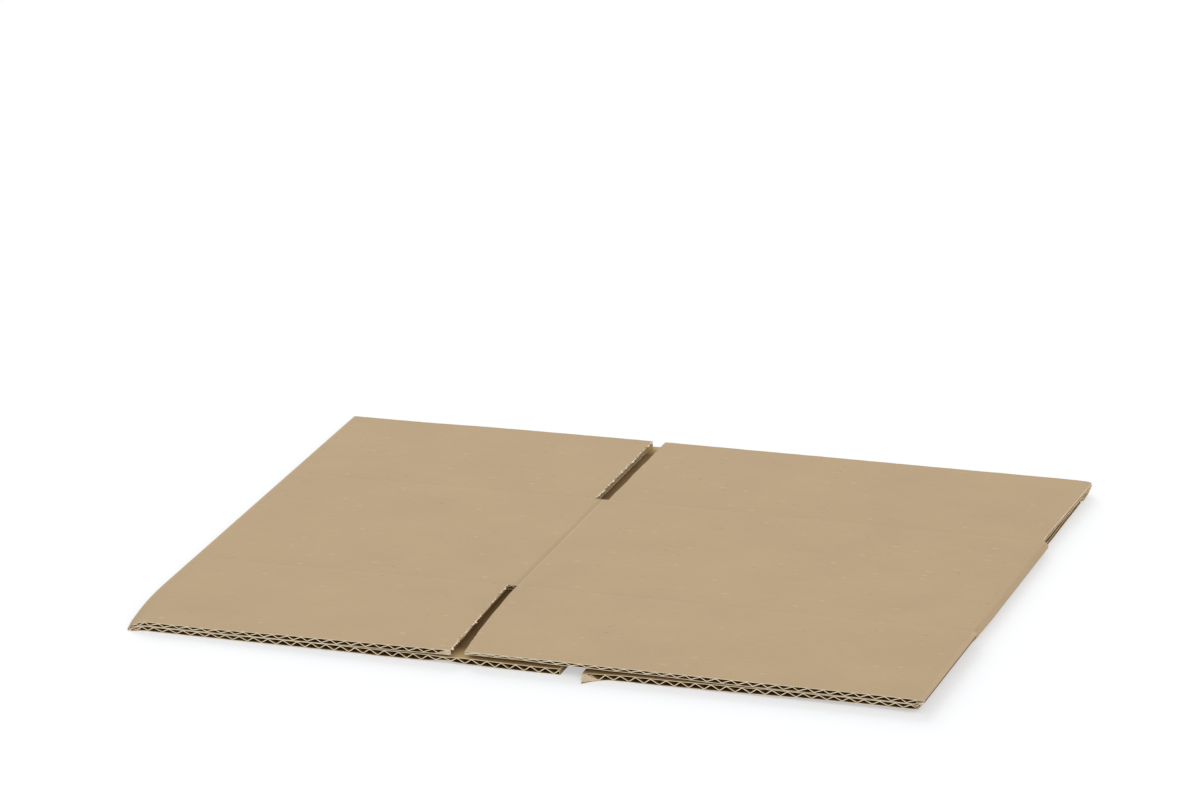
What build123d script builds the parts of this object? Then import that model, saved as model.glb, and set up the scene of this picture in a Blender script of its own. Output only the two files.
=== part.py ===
from build123d import *
import os

# Knocked-down slotted carton: one corrugated sheet, folded flat into two layers.
# X runs along the front edge, Y to the back, Z up. The origin is on the floor, under the middle.

# Panels of the blank, in millimetres
LONG_PANEL = 202.0
SHORT_PANEL = 149.0
BODY_DEPTH = 104.0
FLAP_LENGTH = 74.0

# Corrugated board
BOARD = 2.05
LINER = 0.3
MEDIUM = 0.25
FLUTE_PITCH = 6.5
FIRST_CREST = 4.8
EDGE_WALL = 0.3

# Half outline of one flute cell, as shares of the pitch and of the cell's height
CELL_WIDTH_SHARES = (0.42, 0.185, 0.055)
CELL_HEIGHT_SHARES = (0.0, 0.65, 1.0)

# How the two layers lie
LAYER_GAP = 0.1
FLOOR_CLEARANCE = 1.2
CREASE_REACH = 120.0
FOLD_DROP_REACH = 110.0
ARCH_RISE = 0.75
ARCH_REACH = 50.0
ARCH_OFFSET = 20.5
ARCH_SPAN_SHARE = 0.9

# Slope from a crease, fold or arch to the flat board, as shares of its reach and of its height
CREASE_REACH_SHARES = (0.3, 0.55, 0.75, 1.0)
CREASE_HEIGHT_SHARES = (0.95, 0.7, 0.35, 0.0)
FOLD_REACH_SHARES = (0.25, 0.5, 0.75, 1.0)
FOLD_HEIGHT_SHARES = (1.0, 0.6, 0.2, 0.0)
ARCH_REACH_SHARES = (0.2, 0.45, 0.7, 1.0)
ARCH_HEIGHT_SHARES = (0.92, 0.64, 0.26, 0.0)
SPAN_REACH_SHARES = (0.15, 0.55, 0.75, 1.0)
SPAN_HEIGHT_SHARES = (0.92, 0.82, 0.55, 0.0)

# Folds, and the flaps' ends beside them
FOLD_NOSE = 2.0
FOLD_WALL = 1.5
CRUSHED_FOLD = 5.5
LEFT_SLOT = 6.0
LEFT_LIP = 0.9
FRONT_INSET = 0.8
BACK_INSET = 2.0
CRUSHED_END = 4.0

# Slots at the creases: distance of each side from the crease, at the free edge and at the score
TOP_SLOT_LEFT = 0.6
TOP_SLOT_RIGHT = 5.2
TOP_END_LEFT = 3.7
TOP_END_RIGHT = 0.6
BOTTOM_SLOT_LEFT = 6.0
BOTTOM_SLOT_RIGHT = 3.8
BOTTOM_END = 4.5
BACK_SLOT = 3.0

# Score lines and crushed corners
SCORE_WIDTH = 1.6
SCORE_DEPTH = 0.12
CREASE_WIDTH = 2.4
CREASE_DEPTH = 0.4
PINCH_REACH = 25.0
PINCH_DEPTH = 1.7
BACK_CORNER_RADIUS = 2.5
OVERRUN = 3.0

WIDTH = LONG_PANEL + SHORT_PANEL
DEPTH = BODY_DEPTH + 2 * FLAP_LENGTH
LEFT = -WIDTH / 2
RIGHT = WIDTH / 2
FRONT = -DEPTH / 2
BACK = DEPTH / 2
FRONT_SCORE = -BODY_DEPTH / 2
BACK_SCORE = BODY_DEPTH / 2
TOP_CREASE = LEFT + SHORT_PANEL
BOTTOM_CREASE = LEFT + LONG_PANEL
TOP_BASE = FLOOR_CLEARANCE + BOARD + LAYER_GAP
ARCH = TOP_CREASE + ARCH_OFFSET
ARCH_SPAN = ARCH_SPAN_SHARE * (RIGHT - ARCH)
ABOVE = TOP_BASE + BOARD + ARCH_RISE + OVERRUN


def slope(distance, reach, reach_shares, height_shares):
    """Share of the full height at a distance from a crease or fold, in straight steps."""
    near_place = 0.0
    near_height = 1.0
    for place_share, height in zip(reach_shares, height_shares):
        place = place_share * reach
        if distance < place:
            return near_height + (height - near_height) * (distance - near_place) / (place - near_place)
        near_place = place
        near_height = height
    return height_shares[-1]


def crease_share(x):
    """1 up to the lower crease, falling towards the right fold."""
    return slope(max(x - BOTTOM_CREASE, 0.0), CREASE_REACH, CREASE_REACH_SHARES, CREASE_HEIGHT_SHARES)


def arch_share(x):
    """The upper board arches up steeply beside its slots and falls slowly towards the right fold."""
    if x < ARCH:
        return slope(ARCH - x, ARCH_REACH, ARCH_REACH_SHARES, ARCH_HEIGHT_SHARES)
    return slope(x - ARCH, ARCH_SPAN, SPAN_REACH_SHARES, SPAN_HEIGHT_SHARES)


def fold_drop(x):
    return FLOOR_CLEARANCE * slope(x - LEFT, FOLD_DROP_REACH, FOLD_REACH_SHARES, FOLD_HEIGHT_SHARES)


def bottom_layer(x):
    """Height of the lower board's underside: flat on the floor up to its crease, then rising slowly."""
    return FLOOR_CLEARANCE * (1 - crease_share(x))


def top_layer(x):
    """Height of the upper board's underside: it arches up and drops to the left fold."""
    return TOP_BASE + ARCH_RISE * arch_share(x) - fold_drop(x)


def stations(start, end):
    """Places along X between two ends where the boards change slope."""
    places = [BOTTOM_CREASE, ARCH]
    for share in ARCH_REACH_SHARES:
        places.append(ARCH - share * ARCH_REACH)
    for share in SPAN_REACH_SHARES:
        places.append(ARCH + share * ARCH_SPAN)
    for share in CREASE_REACH_SHARES:
        places.append(BOTTOM_CREASE + share * CREASE_REACH)
    for share in FOLD_REACH_SHARES:
        places.append(LEFT + share * FOLD_DROP_REACH)
    inside = [place for place in places if start < place < end]
    return [start] + sorted(inside) + [end]


def section_point(x, z):
    return Vector(x, FRONT, z)


def run(layer, lift, places):
    """Points along one face of a board."""
    return [section_point(x, layer(x) + lift) for x in places]


def lines(points):
    return [Edge.make_line(a, b) for a, b in zip(points, points[1:])]


def outer_outline():
    """Outside of the folded board, with a round nose at each fold."""
    places = stations(LEFT + FOLD_NOSE, RIGHT - FOLD_NOSE)
    under = run(bottom_layer, 0, places)
    over = run(top_layer, BOARD, reversed(places))
    right_tip = section_point(RIGHT, (under[-1].Z + over[0].Z) / 2)
    left_tip = section_point(LEFT, (under[0].Z + over[-1].Z) / 2)
    right_nose = Edge.make_three_point_arc(under[-1], right_tip, over[0])
    left_nose = Edge.make_three_point_arc(over[-1], left_tip, under[0])
    return Wire(lines(under) + [right_nose] + lines(over) + [left_nose])


def layer_gap():
    """Flat space between the two boards, open at the front and back."""
    places = stations(LEFT + FOLD_WALL, RIGHT - FOLD_WALL)
    under = run(bottom_layer, BOARD, places)
    over = run(top_layer, 0, reversed(places))
    return Wire.make_polygon(under + over, close=True)


def flute_cell(layer, centre, crest_up):
    """One open cell of the fluting, on the lower liner or hung from the upper one."""
    height = BOARD - 2 * LINER - MEDIUM
    half = [(w * FLUTE_PITCH, h * height) for w, h in zip(CELL_WIDTH_SHARES, CELL_HEIGHT_SHARES)]
    outline = [(-w, h) for w, h in half] + [(w, h) for w, h in reversed(half)]
    points = []
    for offset, rise in outline:
        x = centre + offset
        local = LINER + rise if crest_up else BOARD - LINER - rise
        points.append(section_point(x, layer(x) + local))
    return Wire.make_polygon(points, close=True)


def flute_cells(layer, start, end):
    """Cells that fit between two edges of a board."""
    half_width = CELL_WIDTH_SHARES[0] * FLUTE_PITCH
    count = int(2 * WIDTH / FLUTE_PITCH)
    cells = []
    for step in range(count):
        centre = LEFT + FIRST_CREST + step * FLUTE_PITCH / 2
        if start <= centre - half_width and centre + half_width <= end:
            cells.append(flute_cell(layer, centre, step % 2 == 0))
    return cells


def folded_board():
    """The whole section, run from the front edge to the back edge."""
    left_end = LEFT + max(CRUSHED_FOLD, LEFT_SLOT + EDGE_WALL)
    right_end = RIGHT - max(CRUSHED_FOLD, FRONT_INSET + EDGE_WALL, BACK_INSET + EDGE_WALL)
    top_left = TOP_CREASE - max(TOP_SLOT_LEFT, TOP_END_LEFT, BACK_SLOT) - EDGE_WALL
    top_right = TOP_CREASE + max(TOP_SLOT_RIGHT, TOP_END_RIGHT, BACK_SLOT) + EDGE_WALL
    bottom_left = BOTTOM_CREASE - max(BOTTOM_SLOT_LEFT, BOTTOM_END, BACK_SLOT) - EDGE_WALL
    bottom_right = BOTTOM_CREASE + max(BOTTOM_SLOT_RIGHT, BOTTOM_END, BACK_SLOT) + EDGE_WALL
    cells = [layer_gap()]
    cells += flute_cells(top_layer, LEFT + CRUSHED_FOLD, top_left)
    cells += flute_cells(top_layer, top_right, right_end)
    cells += flute_cells(bottom_layer, left_end, bottom_left)
    cells += flute_cells(bottom_layer, bottom_right + CRUSHED_END, right_end)
    return Solid.extrude(Face(outer_outline(), cells), Vector(0, DEPTH, 0))


def flap_zones():
    """Start along Y of the front and back flaps, with the inset of their ends at the right fold."""
    return [(FRONT - OVERRUN, FRONT_INSET), (BACK_SCORE, BACK_INSET)]


def prism(outline, start, length):
    """A cutter with an XZ outline, run along Y."""
    wire = Wire.make_polygon([Vector(x, start, z) for x, z in outline], close=True)
    return Solid.extrude(Face(wire), Vector(0, length, 0))


def rectangle(x_start, x_end, z_start, z_end):
    return [(x_start, z_start), (x_end, z_start), (x_end, z_end), (x_start, z_end)]


def between_layers(x):
    return (bottom_layer(x) + BOARD + top_layer(x)) / 2


def slot(crease, layer_is_top, plan):
    """A cutter through one layer, with an XY outline set out from a crease."""
    split = between_layers(crease)
    start, height = (split, ABOVE - split) if layer_is_top else (-OVERRUN, OVERRUN + split)
    wire = Wire.make_polygon([Vector(crease + x, y, start) for x, y in plan], close=True)
    return Solid.extrude(Face(wire), Vector(0, 0, height))


def front_slot(crease, layer_is_top, left, right, end_left, end_right):
    """A slot that leans and narrows from the front edge to the score."""
    outside = FRONT - OVERRUN
    plan = [(-left, outside), (right, outside), (right, FRONT)]
    plan += [(end_right, FRONT_SCORE), (-end_left, FRONT_SCORE), (-left, FRONT)]
    return slot(crease, layer_is_top, plan)


def back_slot(crease, layer_is_top):
    outside = BACK + OVERRUN
    plan = [(-BACK_SLOT, BACK_SCORE), (BACK_SLOT, BACK_SCORE), (BACK_SLOT, outside), (-BACK_SLOT, outside)]
    return slot(crease, layer_is_top, plan)


def crease_slots():
    """The four slots that run in to the two creases."""
    top_widths = (TOP_SLOT_LEFT, TOP_SLOT_RIGHT, TOP_END_LEFT, TOP_END_RIGHT)
    bottom_widths = (BOTTOM_SLOT_LEFT, BOTTOM_SLOT_RIGHT, BOTTOM_END, BOTTOM_END)
    return [
        front_slot(TOP_CREASE, True, *top_widths),
        front_slot(BOTTOM_CREASE, False, *bottom_widths),
        back_slot(TOP_CREASE, True),
        back_slot(BOTTOM_CREASE, False),
    ]


def fold_outlines(inset):
    """Cuts between the flaps at both folds."""
    left_split = between_layers(LEFT + LEFT_SLOT)
    right_inner = RIGHT - 2 * FOLD_WALL
    right_split = between_layers(right_inner)
    half_gap = LAYER_GAP / 2
    inner = LEFT + FOLD_WALL
    left_cut = [
        (LEFT - OVERRUN, -OVERRUN),
        (LEFT + LEFT_SLOT, -OVERRUN),
        (LEFT + LEFT_SLOT, left_split),
        (inner, between_layers(inner)),
        (inner, LEFT_LIP),
        (LEFT - OVERRUN, LEFT_LIP),
    ]
    return [
        rectangle(RIGHT - inset, RIGHT + OVERRUN, -OVERRUN, ABOVE),
        rectangle(right_inner, RIGHT + OVERRUN, right_split - half_gap, right_split + half_gap),
        left_cut,
    ]


def score_outlines():
    """Shallow strips along the outer faces, pressed in where the flaps bend."""
    places = stations(LEFT - OVERRUN, RIGHT + OVERRUN)
    top = [(x, top_layer(x) + BOARD - SCORE_DEPTH) for x in places]
    bottom = [(x, bottom_layer(x) + SCORE_DEPTH) for x in reversed(places)]
    top_cut = top + [(places[-1], ABOVE), (places[0], ABOVE)]
    bottom_cut = bottom + [(places[0], -OVERRUN), (places[-1], -OVERRUN)]
    return [top_cut, bottom_cut]


def crease_outlines():
    """Grooves along the two creases that lie open in the middle of a layer."""
    half = CREASE_WIDTH / 2
    top = top_layer(TOP_CREASE) + BOARD
    bottom = bottom_layer(BOTTOM_CREASE)
    top_cut = [
        (TOP_CREASE - half, top + OVERRUN),
        (TOP_CREASE - half, top),
        (TOP_CREASE, top - CREASE_DEPTH),
        (TOP_CREASE + half, top),
        (TOP_CREASE + half, top + OVERRUN),
    ]
    bottom_cut = [
        (BOTTOM_CREASE - half, bottom - OVERRUN),
        (BOTTOM_CREASE - half, bottom),
        (BOTTOM_CREASE, bottom + CREASE_DEPTH),
        (BOTTOM_CREASE + half, bottom),
        (BOTTOM_CREASE + half, bottom - OVERRUN),
    ]
    return [top_cut, bottom_cut]


def upright(wire):
    """A cutter with an XY outline, from under the sheet to over it."""
    return Solid.extrude(Face(wire), Vector(0, 0, ABOVE + OVERRUN))


def pinched_corner():
    """Front left corner, pressed in along a long arc."""
    start = Vector(LEFT, FRONT + PINCH_REACH, -OVERRUN)
    end = Vector(LEFT + PINCH_DEPTH, FRONT, -OVERRUN)
    outside = Vector(LEFT - OVERRUN, FRONT + PINCH_REACH, -OVERRUN)
    corner = Vector(LEFT - OVERRUN, FRONT - OVERRUN, -OVERRUN)
    below = Vector(LEFT + PINCH_DEPTH, FRONT - OVERRUN, -OVERRUN)
    arc = Edge.make_tangent_arc(start, Vector(0, -1, 0), end)
    return upright(Wire([arc] + lines([end, below, corner, outside, start])))


def rounded_corner():
    """Back right corner of the two flaps, worn round."""
    edge = RIGHT - BACK_INSET
    start = Vector(edge - BACK_CORNER_RADIUS, BACK, -OVERRUN)
    end = Vector(edge, BACK - BACK_CORNER_RADIUS, -OVERRUN)
    outside = Vector(RIGHT + OVERRUN, BACK - BACK_CORNER_RADIUS, -OVERRUN)
    corner = Vector(RIGHT + OVERRUN, BACK + OVERRUN, -OVERRUN)
    behind = Vector(edge - BACK_CORNER_RADIUS, BACK + OVERRUN, -OVERRUN)
    arc = Edge.make_tangent_arc(start, Vector(1, 0, 0), end)
    return upright(Wire([arc] + lines([end, outside, corner, behind, start])))


def cutters():
    tools = [pinched_corner(), rounded_corner()] + crease_slots()
    for start, inset in flap_zones():
        tools += [prism(outline, start, FLAP_LENGTH + OVERRUN) for outline in fold_outlines(inset)]
    for score in (FRONT_SCORE, BACK_SCORE):
        tools += [prism(outline, score - SCORE_WIDTH / 2, SCORE_WIDTH) for outline in score_outlines()]
    tools += [prism(outline, FRONT_SCORE, BODY_DEPTH) for outline in crease_outlines()]
    return tools


def flattened_carton():
    return folded_board().cut(*cutters())


os.makedirs("parts", exist_ok=True)
export_step(flattened_carton(), "parts/flattened_carton.step")
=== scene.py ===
"""Flattened corrugated carton: liners, fluting, worn edges, paper finishes and a plain stage."""

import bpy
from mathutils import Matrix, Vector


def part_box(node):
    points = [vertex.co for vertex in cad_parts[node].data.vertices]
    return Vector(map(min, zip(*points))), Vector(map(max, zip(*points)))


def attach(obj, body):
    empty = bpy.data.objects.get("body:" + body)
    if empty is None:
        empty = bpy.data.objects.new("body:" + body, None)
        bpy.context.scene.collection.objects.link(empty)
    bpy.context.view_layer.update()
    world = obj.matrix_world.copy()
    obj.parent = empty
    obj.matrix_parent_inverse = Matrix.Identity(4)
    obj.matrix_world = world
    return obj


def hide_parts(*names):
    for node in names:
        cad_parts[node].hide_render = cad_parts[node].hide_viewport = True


bl_info = {
    "name": "Flattened Carton",
    "version": (1, 0, 0),
    "blender": (4, 5, 0),
    "location": "View3D > Sidebar > Carton",
    "description": "A knocked-down corrugated carton lying flat, dressed over its packed frame",
    "category": "Add Mesh",
}

import math

import bpy
import numpy as np
from bpy.props import FloatProperty, FloatVectorProperty, IntProperty, PointerProperty
from mathutils import Matrix, Vector

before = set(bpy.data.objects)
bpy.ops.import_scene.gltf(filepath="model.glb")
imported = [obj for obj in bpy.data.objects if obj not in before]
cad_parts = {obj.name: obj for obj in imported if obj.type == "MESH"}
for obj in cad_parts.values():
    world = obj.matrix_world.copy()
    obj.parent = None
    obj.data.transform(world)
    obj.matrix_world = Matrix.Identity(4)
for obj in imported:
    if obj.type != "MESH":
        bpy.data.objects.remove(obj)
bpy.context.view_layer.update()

MM = 0.001
NODE = "flattened_carton"
LOW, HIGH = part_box(NODE)
LEFT, FRONT = LOW[0], LOW[1]
RIGHT, BACK = HIGH[0], HIGH[1]
UP = math.pi / 2
DOWN = -math.pi / 2

# Heights of the outer faces along the front and back edges: place and height in millimetres
UPPER_FRONT = (
    (-175.5, 4.25), (-150.0, 4.22), (-130.0, 4.2), (-115.0, 4.65), (-100.0, 4.93), (-85.0, 5.05),
    (-70.0, 5.3), (-55.0, 5.5), (-41.0, 5.72), (-28.0, 6.08), (-15.0, 6.12), (0.0, 6.15),
    (18.0, 6.12), (30.0, 6.02), (45.0, 5.95), (70.0, 5.98), (90.0, 5.94), (110.0, 5.92),
    (130.0, 6.0), (146.0, 6.05), (160.0, 6.02), (170.0, 5.9), (175.5, 5.85),
)
UPPER_BACK = (
    (-175.5, 4.3), (-140.0, 4.4), (-110.0, 4.95), (-60.0, 5.2), (-28.0, 5.35), (0.0, 5.4),
    (40.0, 5.35), (80.0, 5.3), (110.0, 5.25), (140.0, 5.28), (175.5, 5.22),
)
LOWER_FRONT = (
    (-175.5, 0.06), (-140.0, 0.05), (-100.0, 0.1), (-81.0, 0.2), (-60.0, 0.12), (-41.0, 0.15),
    (-36.0, 0.25), (-28.0, 0.45), (-21.0, 0.4), (-14.0, 0.3), (-8.0, 0.15), (-1.7, 0.05),
    (12.0, 0.03), (44.0, 0.03), (57.0, 0.06), (64.0, 0.09), (70.0, 0.2), (77.0, 0.27),
    (90.0, 0.35), (96.0, 0.48), (108.0, 0.75), (121.0, 1.1), (134.0, 1.35), (147.0, 1.45),
    (160.0, 1.48), (175.5, 1.5),
)
LOWER_BACK = (
    (-175.5, 0.25), (-140.0, 0.2), (-60.0, 0.15), (10.0, 0.08), (27.5, 0.05), (64.0, 0.12),
    (90.0, 0.4), (121.0, 0.9), (147.0, 1.2), (175.5, 1.3),
)

# How these heights are joined to a smooth line, in millimetres, with the margin in steps
LINE_REACH = 190.0
LINE_STEP = 0.5
LINE_MARGIN = 40
LINE_BLUR = 5.0

# Mesh lines along the flaps and the body, in millimetres from a free edge or a score
EDGE_ROWS = (0.0, 0.35, 0.9, 1.8, 3.0, 4.6, 6.6, 9.0, 12.0, 13.7, 14.6, 15.5, 16.4, 17.3, 19.5)
MIDDLE_ROWS = (24.0, 29.0, 35.0, 42.0, 50.0, 58.0)
SCORE_ROWS = (9.0, 4.5, 2.2, 1.1, 0.5, 0.0)
BODY_ROWS = (0.0, 0.5, 1.1, 2.2, 5.0, 12.0, 24.0, 38.0)
FLUTE_ROWS = (0.12, 0.5, 1.5, 4.0, 9.0, 18.0, 34.0, 54.0)
FLUTE_SCORE_ROW = 2.0 * MM

# Mesh steps round the folds, where the right fold is slit, and margins that guide the mesh
LIP_UNDER_STEPS = 6
LIP_OVER_STEPS = 11
SLIT_START = math.radians(-3.0)
SLIT_END = math.radians(-50.0)
ABOVE_SLIT_STEPS = 9
SLIT_STEPS = 3
BELOW_SLIT_STEPS = 6
SLOT_MARGINS = (1.3 * MM, 0.5 * MM)
SAME_PLACE = 1e-7
ROUNDING = 1e-6

# Seeded noise: how many knots it has, and numbers added to the seed so that each is drawn apart
KNOTS = 2048
SEEDS = {
    "low_end": 1,
    "high_end": 2,
    "fray": 3,
    "long_fray": 4,
    "scatter": 5,
    "long_tear": 9,
    "thickness_along": 31,
    "thickness_across": 32,
    "lie_along": 41,
    "lie_across": 42,
    "flutes": 61,
    "inner_liner": 1000,
    "fluting": 2000,
    "slot_walls": 3000,
    "crushed_caps": 3100,
    "torn_strips": 3200,
    "fold_ends": 3300,
}
SEED_STEP = 100

# Thickness of the board: shares of it that are kept or lost, and how far each loss reaches
LOWER_SHARE = 0.54
LOWER_SHARE_LOSS = 0.04
LOWER_LOSS_START = 90.0 * MM
LOWER_LOSS_REACH = 50.0 * MM
LAYER_GAP = 0.03 * MM
FOLD_LOSS = 0.4
THIN_PLACE = 14.0 * MM
THIN_START = 3.0 * MM
THIN_DEPTH = 60.0 * MM
THIN_GAIN = 1.4
BEYOND_LOSS = 0.55
BEYOND_END = 60.0 * MM
BEYOND_FADE = 30.0 * MM
CRUSH_LOSS = 0.24
CRUSH_REACH = 20.0 * MM
CRUSH_DEPTH = 30.0 * MM
CRUSH_START = -3.0 * MM
DENT_LOSS = 0.18
DENT_DEPTH = 12.0 * MM
THICKNESS_WAVE_ALONG = 9.0 * MM
THICKNESS_WAVE_ACROSS = 23.0 * MM
THICKNESS_SWAY_ALONG = 0.02
THICKNESS_SWAY_ACROSS = 0.015

# Grooves in the outer faces
GROOVE_FLATNESS = 8
CREASE_FADE = 1.0 * MM
SCORE_WIDTH = 0.9 * MM

# Crushed and curled corners: how far each reaches in width, depth or height, and its strength
DENT_HEIGHT = 3.4 * MM
PUSH_GAIN = 1.6
PUSH_WIDTH = 12.0 * MM
CURL_WIDTH = 11.0 * MM
CURL_POWER = 1.5
TIP_DEPTH = 8.0 * MM
TIP_WIDTH = 10.0 * MM
TIP_HEIGHT = 3.0 * MM
TUCK_WIDTH = 12.0 * MM
TUCK_HEIGHT = 3.8 * MM
PINCH_WIDTH = 9.0 * MM
PINCH_HEIGHT = 3.4 * MM
PINCH_POWER = 1.3
PINCH_ABOVE = 0.2
LIP_POWER = 1.5
LIP_START = 4.0 * MM
LIP_DEPTH = 6.0 * MM
LIP_HEIGHT = 2.3 * MM
LIP_ASIDE = 0.3
LIP_DROP = 0.6
LIE_WAVE_ALONG = 70.0 * MM
LIE_WAVE_ACROSS = 60.0 * MM
LIE_SWAY = 0.06 * MM
LIE_HEIGHT = 5.0 * MM
LIE_START = 20.0 * MM
FLOOR_GAP = 0.04 * MM
NEAR_ZERO = 1e-9

# Ends of the flaps: where a cut starts beside the score, and how it leans, tapers and wears
FLAT_TURN = 0.99
BENT_TURN = 0.02
CUT_START = 1.6 * MM
CUT_ROOM = 8.0 * MM
TAPER_REACH = 25.0 * MM
END_POWER = 0.3
END_RISE = -0.1
UNDERCUT = 0.7 * MM
UNDERCUT_GAIN = 3.0
WEAR_START = 4.0 * MM
END_COLUMNS = ((0, 1.0), (1, 0.3), (-1, 1.0), (-2, 0.3))
TEAR_WAVE = 1.1 * MM
LONG_TEAR_WAVE = 4.5 * MM
FRAY_WAVE = 2.3 * MM
LONG_FRAY_WAVE = 19.0 * MM
LONG_WAVE_PART = 0.6
SLOT_POWER = 1.65
CORNER_POWER = 1.3
NOTCH_STEP = 3.0 * MM
NOTCH_WIDTH = 0.8 * MM

# Liners and fluting
OUTER_TEAR = 1.5
INNER_RECESS = 0.45 * MM
UPPER_LEAN = -0.3
LOWER_LEAN = 0.1
FLUTE_WAVE = 11.0 * MM
FLUTE_SWAY = 0.25
FLUTE_POINT = 0.95
FLUTE_FRAY = 0.06 * MM
FLUTE_CLIP = 0.15 * MM

# Torn edges: the finishes' numbers, the last of them the dark fluting colour used as painted shade, and the
# walls, caps, fills and strips that close the board
TORN, SCUFFED, PAINTED_SHADE = 0, 1, 2
ACROSS = np.linspace(0.06, 0.94, 6)
WORN_TOP = (SCUFFED, SCUFFED, TORN, TORN, TORN)
TORN_PAPER = 0.16 * MM
WALL_START = 0.3 * MM
WALL_STEPS = 190
WALL_INSET = 0.22 * MM
WALL_SCATTER = 0.14 * MM
FOLD_CAP_LEFT = 4.5 * MM
FOLD_CAP_RIGHT = 1.5 * MM
FOLD_CAP_INSET = 0.15 * MM
CAP_INSET = 0.1 * MM
UPPER_CAP = 4.0 * MM
LOWER_CAP = 5.0 * MM
CAP_STEPS = 14
CAP_FULL = 0.15
CAP_FADE = 0.8
CAP_LOSS = 0.85
FILL_REACH = 7.6 * MM
FILL_HEIGHT = 0.35 * MM
FILL_STEPS = 7
FILL_INSET = 0.1 * MM
FILL_DEPTH_MM = 0.25
FILL_GRAIN_MM = 0.45
STRIP_STEPS_MM = (-0.4, -0.25, -0.1, 0.05)
STRIP_DEPTHS_MM = (0.06, -0.03, -0.07, -0.10)
STRIP_LOOSE = (0.5, 0.3, 0.6, 1.0)
STRIP_WAVES = ((0.8, 1.1 * MM), (1.0, 2.9 * MM), (0.5, 9.0 * MM))
STRIP_LIFT = 0.3
STRIP_LIFT_WAVE = 0.8 * MM

# Joining of the grids
WELD_REACH = 0.002 * MM
SHARP_EDGE = math.radians(35.0)

# Papers: the scales of their clouds, fibres, grain and flecks along X, Y and Z, and their gloss
CLOUD = {"scale": (26.0, 34.0, 34.0), "detail": 3.0}
FIBRES = {"scale": (170.0, 1500.0, 1500.0), "detail": 4.0}
GRAIN = {"scale": (1900.0, 2600.0, 2600.0), "detail": 2.0}
NOISE_ROUGHNESS = 0.55
NOISE_LOW = 0.3
NOISE_HIGH = 0.7
PALE_FLECKS = {"scale": (95.0, 400.0, 400.0), "size": 0.19, "rarity": 0.82}
DARK_FLECKS = {"scale": (140.0, 360.0, 360.0), "size": 0.16, "rarity": 0.9}
FLECK_CORE = 0.4
PALE_GAIN = 1.4
PALE_LIFT = 0.03
DARK_GAIN = 0.5
SPECULAR = 0.22
SMOOTHEST = 0.78
ROUGHEST = 0.95
BUMP_HEIGHT = 0.05 * MM
PAPERS = {
    "outer_kraft": {"tint": "kraft", "streak": 0.034, "mottle": 0.03, "flecks": 0.5, "grain": 0.35},
    # The inner paper's colour carries painted shade.
    "inner_kraft": {"tint": "inner", "streak": 0.03, "mottle": 0.03, "flecks": 0.5, "grain": 0.35},
    # The fluting paper's colour carries painted shade of the deep flute cells.
    "fluting_paper": {"tint": "fluting", "streak": 0.05, "mottle": 0.04, "flecks": 0.3, "grain": 0.4},
    "cut_paper": {"tint": "cut", "streak": 0.10, "mottle": 0.06, "flecks": 0.0, "grain": 0.6},
    "torn_paper": {"tint": "torn", "streak": 0.22, "mottle": 0.16, "flecks": 0.5, "grain": 0.8},
    "scuffed_paper": {"tint": "scuffed", "streak": 0.16, "mottle": 0.12, "flecks": 0.5, "grain": 0.6},
}

# Lighter bands along edges, of rubbed paper and painted light: the axis across them, where the band starts
# and where it is full, colour and amount
LIT_AND_RUBBED_EDGES = {
    # On the outer liner the band along the folds' noses is rubbed paper and painted light that lifts their
    # shade.
    "outer_kraft": ("X", RIGHT - 2.4 * MM, RIGHT - 0.3 * MM, "scuffed", 0.16),
    # On the inner liner the band is painted light: the paper turns from its painted shade to a lighter tone
    # near the open edges.
    "inner_kraft": ("Y", BACK - 11.0 * MM, BACK - 2.5 * MM, "inner_edge_lit", 1.0),
}

# Sockets of a colour mix, by number, because its colours share their names with other sockets
MIX_FACTOR = 0
MIX_BASE = 6
MIX_OVER = 7
MIX_RESULT = 2

# Stage: lamps with their breadth and height in degrees, the camera's sensor and the floor's white
KEY_LAMP = {"breadth": 44.0, "heading": (0.52, -0.85), "height": 20.0}
SIDE_LAMP = {"breadth": 60.0, "heading": (-0.86, 0.51), "height": 30.0}
SENSOR_WIDTH = 36.0
FLOOR_DROP = 0.05 * MM
FLOOR_GREY = 0.8
FLOOR_WHITE = 1.02
FLOOR_TINT = (0.985, 1.0, 1.02)


def length(name, description, default):
    return FloatProperty(
        name=name, description=description, default=default, min=0.0, precision=5, unit="LENGTH"
    )


def share(name, description, default):
    return FloatProperty(name=name, description=description, default=default, subtype="FACTOR")


def strength(name, description, default):
    return FloatProperty(name=name, description=description, default=default, min=0.0)


def angle(name, description, degrees):
    return FloatProperty(name=name, description=description, default=math.radians(degrees), subtype="ANGLE")


def colour(name, description, default):
    return FloatVectorProperty(
        name=name, description=description, default=default, size=3, min=0.0, max=1.0, subtype="COLOR"
    )


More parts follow.
